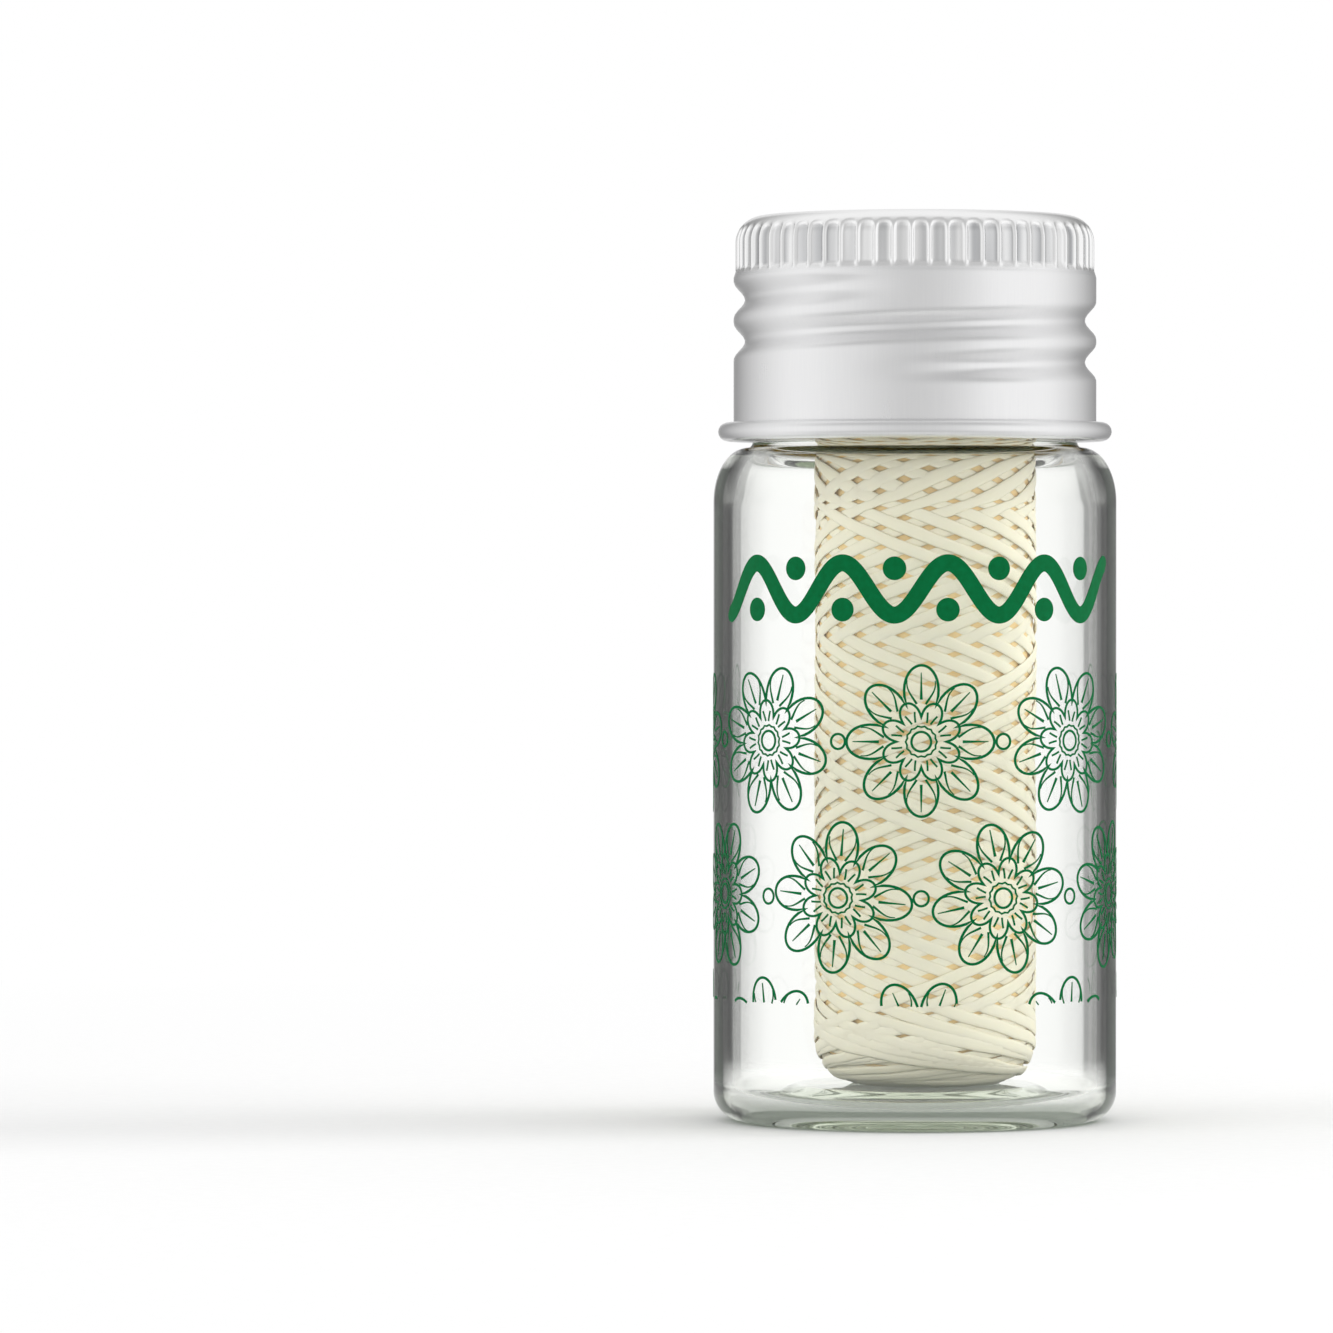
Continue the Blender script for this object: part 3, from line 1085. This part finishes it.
def toneRamp(tree, share, left, right):
    # grey tones round the bottle: the ramp runs from -180 degrees over straight behind to 180
    ramp = addNode(tree, "ShaderNodeValToRGB", None, {0: share})
    marks = ramp.color_ramp.elements
    marks.remove(marks[1])
    stops = [(-deg, tone) for deg, tone in left[:0:-1]] + list(right)
    for number, (deg, tone) in enumerate(stops):
        mark = marks[0] if number == 0 else marks.new(deg / 360 + 0.5)
        mark.position = deg / 360 + 0.5
        mark.color = (tone, tone, tone, 1)
    return ramp.outputs[0]


def roundTones(tree, where, s, path):
    # what stands round the bottle: atan2(x, y) is the angle from straight behind it
    parts = addNode(tree, "ShaderNodeSeparateXYZ", None, {0: where})
    turn = addNode(tree, "ShaderNodeMath", {"operation": "ARCTAN2"},
                   {0: parts.outputs[0], 1: parts.outputs[1]})
    share = addNode(tree, "ShaderNodeMath", {"operation": "MULTIPLY_ADD", 1: 1 / tau, 2: 0.5},
                    {0: turn.outputs[0]})
    through = toneRamp(tree, share.outputs[0], s["glassLeft"], s["glassRight"])
    mirrored = toneRamp(tree, share.outputs[0], s["metalLeft"], s["metalRight"])
    both = addNode(tree, "ShaderNodeMix", {"data_type": "RGBA"}, {
        0: path.outputs["Is Transmission Ray"], 6: mirrored, 7: through})
    return both.outputs[2]


def floorPaper(s):
    # seamless paper: matt white, and lifted to full white where it is seen through glass
    material, tree = newMaterial("seamlessPaper")
    where = addNode(tree, "ShaderNodeTexCoord")
    pulp = addNode(tree, "ShaderNodeTexNoise", {"Scale": 900.0, "Detail": 2.0},
                   {"Vector": where.outputs["Object"]})
    tone = addNode(tree, "ShaderNodeMix", {
        "data_type": "RGBA", 6: linear(s["paperTones"][0]), 7: linear(s["paperTones"][1])},
        {0: pulp.outputs[0]})
    paper = addNode(tree, "ShaderNodeBsdfPrincipled", {
        "Roughness": 0.9, "Specular IOR Level": 0.1}, {"Base Color": tone.outputs[2]})
    path = addNode(tree, "ShaderNodeLightPath")
    strength = addNode(tree, "ShaderNodeMath", {"operation": "MULTIPLY", 1: s["floorLift"]},
                       {0: path.outputs["Is Transmission Ray"]})
    lifted = addNode(tree, "ShaderNodeEmission", {"Color": linear("#FFFFFF")},
                     {"Strength": strength.outputs[0]})
    both = addNode(tree, "ShaderNodeAddShader", None,
                   {0: paper.outputs[0], 1: lifted.outputs[0]})
    # away from the bottle, glass and metal look past it into the tones of the studio
    around = addNode(tree, "ShaderNodeBsdfTransparent")
    seen = addNode(tree, "ShaderNodeMath", {"operation": "MAXIMUM"},
                   {0: path.outputs["Is Transmission Ray"], 1: path.outputs["Is Glossy Ray"]})
    away = addNode(tree, "ShaderNodeVectorMath", {"operation": "LENGTH"},
                   {0: where.outputs["Object"]})
    far = addNode(tree, "ShaderNodeMapRange", {1: s["nearFloor"][0], 2: s["nearFloor"][1]},
                  {0: away.outputs["Value"]})
    part = addNode(tree, "ShaderNodeMath", {"operation": "MULTIPLY"},
                   {0: seen.outputs[0], 1: far.outputs[0]})
    near = addNode(tree, "ShaderNodeMixShader", None,
                   {0: part.outputs[0], 1: both.outputs[0], 2: around.outputs[0]})
    # and for the camera it runs out into the white of the backdrop
    sweep = addNode(tree, "ShaderNodeMapRange", {1: s["sweep"][0], 2: s["sweep"][1]},
                    {0: away.outputs["Value"]})
    out = addNode(tree, "ShaderNodeMath", {"operation": "MULTIPLY"},
                  {0: path.outputs["Is Camera Ray"], 1: sweep.outputs[0]})
    white = addNode(tree, "ShaderNodeEmission", {"Color": linear("#FFFFFF"), "Strength": 1.0})
    whole = addNode(tree, "ShaderNodeMixShader", None,
                    {0: out.outputs[0], 1: near.outputs[0], 2: white.outputs[0]})
    addNode(tree, "ShaderNodeOutputMaterial", None, {"Surface": whole.outputs[0]})
    return material


half = studio["floorHalf"] / mm
corners = np.array([[-half, -half, 0], [half, -half, 0], [half, half, 0], [-half, half, 0]])
floor = buildMesh("floor", corners, np.array([[0, 1, 2, 3]]), floorPaper(studio), shade=False)


def studioWorld(s):
    # white where the camera looks; glass and metal see the tones round the bottle
    world = bpy.data.worlds.new("studio")
    bpy.context.scene.world = world
    world.use_nodes = True
    tree = world.node_tree
    tree.nodes.clear()
    direction = addNode(tree, "ShaderNodeTexCoord").outputs["Generated"]
    path = addNode(tree, "ShaderNodeLightPath")
    tones = roundTones(tree, direction, s, path)
    # overhead they run together in one tone
    height = addNode(tree, "ShaderNodeSeparateXYZ", None, {0: direction})
    either = addNode(tree, "ShaderNodeMath", {"operation": "ABSOLUTE"}, {0: height.outputs[2]})
    over, top = [], []
    for (low, high), tone in zip(s["topStart"], s["topTone"]):
        over.append(addNode(tree, "ShaderNodeMapRange", {1: low, 2: high},
                            {0: either.outputs[0]}).outputs[0])
        top.append((tone, tone, tone, 1))
    share = addNode(tree, "ShaderNodeMix", None,
                    {0: path.outputs["Is Transmission Ray"], 2: over[0], 3: over[1]})
    behind = addNode(tree, "ShaderNodeMapRange", {
        1: s["behindFrom"][0], 2: s["behindFrom"][1]}, {0: height.outputs[1]})
    mirrored = addNode(tree, "ShaderNodeMix", {
        "data_type": "RGBA", 6: top[0], 7: (*[s["topBehind"]] * 3, 1)}, {0: behind.outputs[0]})
    tone = addNode(tree, "ShaderNodeMix", {"data_type": "RGBA", 7: top[1]}, {
        0: path.outputs["Is Transmission Ray"], 6: mirrored.outputs[2]})
    dome = addNode(tree, "ShaderNodeMix", {"data_type": "RGBA"},
                   {0: share.outputs[0], 6: tones, 7: tone.outputs[2]})
    seen = addNode(tree, "ShaderNodeMath", {"operation": "MAXIMUM"},
                   {0: path.outputs["Is Glossy Ray"], 1: path.outputs["Is Transmission Ray"]})
    plain = addNode(tree, "ShaderNodeBackground", {
        "Color": linear("#FFFFFF"), "Strength": s["fill"]})
    around = addNode(tree, "ShaderNodeBackground", {"Strength": 1.0}, {"Color": dome.outputs[2]})
    white = addNode(tree, "ShaderNodeBackground", {"Color": linear("#FFFFFF"), "Strength": 1.0})
    lit = addNode(tree, "ShaderNodeMixShader", None,
                  {0: seen.outputs[0], 1: plain.outputs[0], 2: around.outputs[0]})
    whole = addNode(tree, "ShaderNodeMixShader", None,
                    {0: path.outputs["Is Camera Ray"], 1: lit.outputs[0], 2: white.outputs[0]})
    addNode(tree, "ShaderNodeOutputWorld", None, {"Surface": whole.outputs[0]})


def softBox(name, place, aim, size, power):
    # a rectangle of light at its place, turned to its aim
    data = bpy.data.lights.new(name, "AREA")
    data.shape = "RECTANGLE"
    data.size, data.size_y = size
    data.energy = power
    box = bpy.data.objects.new(name, data)
    bpy.context.scene.collection.objects.link(box)
    # metal and glass show the tones round the bottle instead
    box.visible_glossy = box.visible_transmission = False
    box.location = place
    box.rotation_euler = (Vector(aim) - Vector(place)).to_track_quat("-Z", "Y").to_euler()


studioWorld(studio)
middle = (0, 0, glassHigh.z * mm / 2)
for side, power in zip((-1, 1), studio["boxPower"]):
    a = math.radians(studio["boxAngleDeg"])
    place = (side * studio["boxDistance"] * math.sin(a), -studio["boxDistance"] * math.cos(a),
             studio["boxHeight"])
    softBox(f"softBox{side + 1}", place, middle, studio["boxSize"], power)
softBox("highBox", studio["highPlace"], middle, studio["highSize"], studio["highPower"])
bpy.context.scene.view_settings.view_transform = "Standard"
# light runs a long way inside thick glass: the base and the shoulder need this many turns
cycles = bpy.context.scene.cycles
cycles.glossy_bounces, cycles.transmission_bounces, cycles.max_bounces = 16, 24, 32
print("studio lit")
